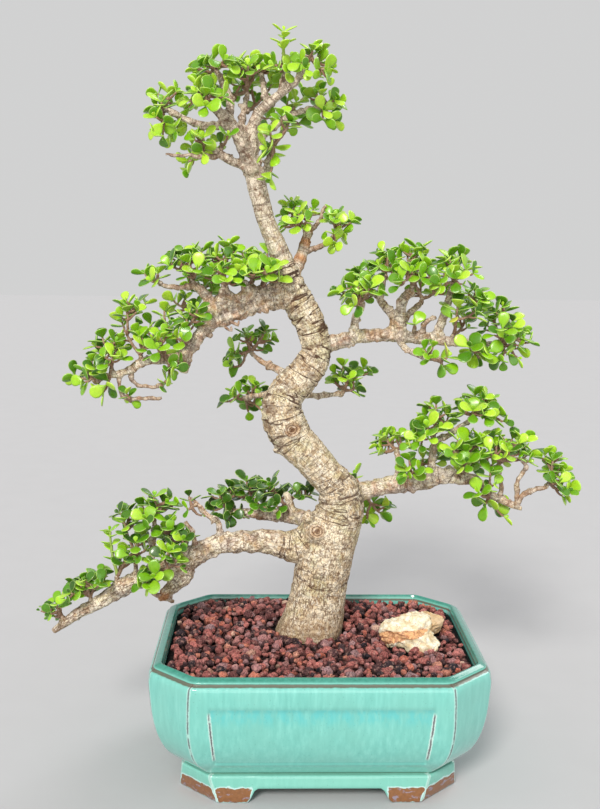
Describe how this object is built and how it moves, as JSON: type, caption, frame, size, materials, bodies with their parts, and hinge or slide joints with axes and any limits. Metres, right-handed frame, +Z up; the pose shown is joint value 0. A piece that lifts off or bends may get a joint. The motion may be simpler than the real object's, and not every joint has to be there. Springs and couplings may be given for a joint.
{
  "type": "dwarf jade bonsai",
  "caption": "Dwarf jade bonsai: a bent old trunk with tiered limbs and small round fleshy leaves, in an eight-sided glazed pot with lava gravel and a stone.",
  "frame": {"origin": "under the middle of the whole object's bounding box, on the table that the pot's feet stand on", "axes": "+Z up along the tree, +X to the right along the pot's long side as seen from the front, +Y to the back"},
  "size_m": [0.5288, 0.2442, 0.6993],
  "materials": {
    "bark": "rough, wrinkled and fissured bark",
    "leaf": "smooth fleshy leaf with a soft gloss",
    "glaze": "turquoise gloss glaze over brown clay",
    "gravel": "rough porous lava rock",
    "rock": "rough cream stone with rust",
    "mesh": "dull black plastic net"
  },
  "bodies": {
    "root": {"trunk": "bark", "spray_low_left_tip": "leaf", "spray_low_left_outer": "leaf", "spray_low_left_spire": "leaf", "spray_low_left_crest": "leaf", "spray_low_left_top": "leaf", "spray_low_left_inner": "leaf", "spray_low_left_front": "leaf", "spray_back_left_outer": "leaf", "spray_back_left_middle": "leaf", "spray_back_left_inner": "leaf", "spray_low_right_rear_twig": "leaf", "spray_low_right_rosette": "leaf", "spray_low_right_peak": "leaf", "spray_low_right_heart": "leaf", "spray_low_right_twig": "leaf", "spray_low_right_tip": "leaf", "spray_low_right_hanging": "leaf", "spray_low_right_front": "leaf", "spray_low_right_behind": "leaf", "spray_up_right_inner": "leaf", "spray_up_right_left": "leaf", "spray_up_right_crest": "leaf", "spray_up_right_top": "leaf", "spray_up_right_rear": "leaf", "spray_up_right_peak": "leaf", "spray_up_right_shoulder": "leaf", "spray_up_right_outer": "leaf", "spray_up_right_low": "leaf", "spray_up_right_hanging": "leaf", "spray_up_left_tip": "leaf", "spray_up_left_outer": "leaf", "spray_up_left_tall": "leaf", "spray_up_left_middle": "leaf", "spray_up_left_fork": "leaf", "spray_up_left_twig": "leaf", "spray_up_left_crest": "leaf", "spray_up_left_rear": "leaf", "spray_up_left_top": "leaf", "spray_up_left_inner": "leaf", "spray_up_left_collar": "leaf", "spray_shoulder_left": "leaf", "spray_shoulder_right": "leaf", "spray_behind_upper": "leaf", "spray_behind_lower": "leaf", "spray_behind_right": "leaf", "spray_crown_left_low": "leaf", "spray_crown_left_tip": "leaf", "spray_crown_left": "leaf", "spray_crown_left_top": "leaf", "spray_crown_middle": "leaf", "spray_crown_peak": "leaf", "spray_crown_right": "leaf", "spray_crown_right_tip": "leaf", "spray_crown_front": "leaf", "pot": "glaze", "soil_gravel": "gravel", "ornamental_stone": "rock", "drain_mesh_left": "mesh", "drain_mesh_right": "mesh"}
  },
  "joints": []
}
